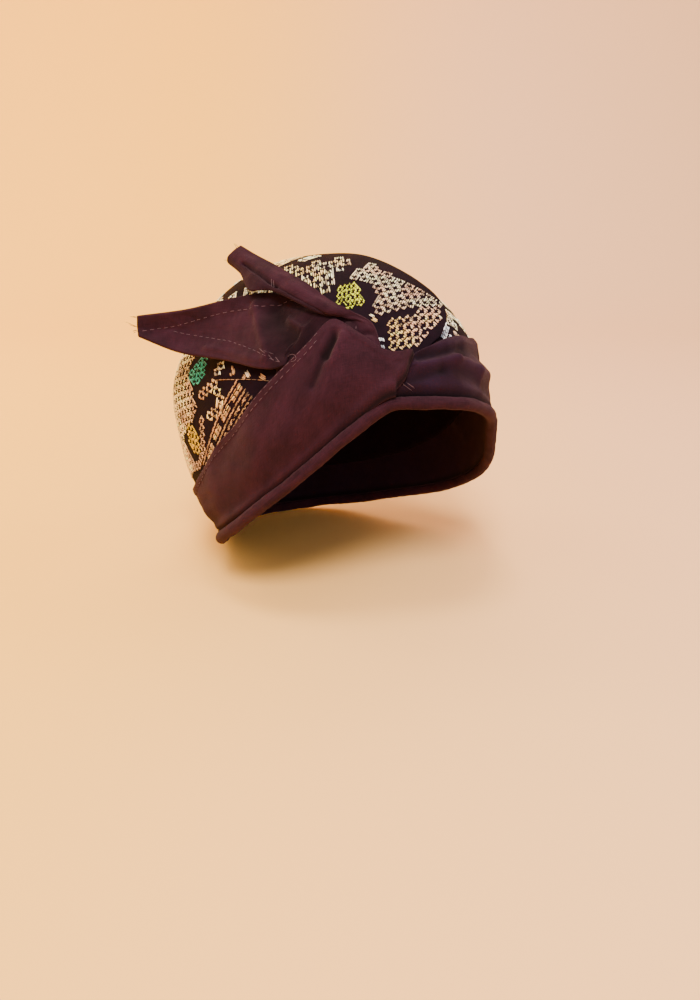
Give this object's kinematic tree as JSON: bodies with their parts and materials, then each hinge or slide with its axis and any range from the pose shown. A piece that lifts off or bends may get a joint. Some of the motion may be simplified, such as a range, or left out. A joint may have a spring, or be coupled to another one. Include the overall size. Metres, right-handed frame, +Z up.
{
  "type": "balinese head cloth",
  "caption": "Wrapped head cloth with a brocade crown panel, two plain folded bands, a rolled lower edge and two free cloth ends over the right temple.",
  "frame": {"origin": "centre of the head opening, level with the brow of the head that wears it", "axes": "+Z up, the wearer faces -Y, the wearer's left is +X"},
  "size_m": [0.1787, 0.1927, 0.1759],
  "materials": {
    "songket": "cotton and metal thread brocade, cream floats on aubergine",
    "songket_fold": "cotton and metal thread brocade, cream floats on aubergine",
    "aubergine_cotton": "plain woven cotton, dark red brown",
    "aubergine_cotton_shade": "plain woven cotton, dark purple brown",
    "aubergine_cotton_roll": "plain woven cotton wound into a roll",
    "aubergine_cotton_tails": "plain woven cotton, dark red brown, cut ends"
  },
  "bodies": {
    "root": {"crown": "songket", "crown_fold": "songket_fold", "right_wrap": "aubergine_cotton", "left_wrap": "aubergine_cotton_shade", "rim_roll": "aubergine_cotton_roll", "side_tail": "aubergine_cotton_tails", "up_tail": "aubergine_cotton_tails"}
  },
  "joints": []
}
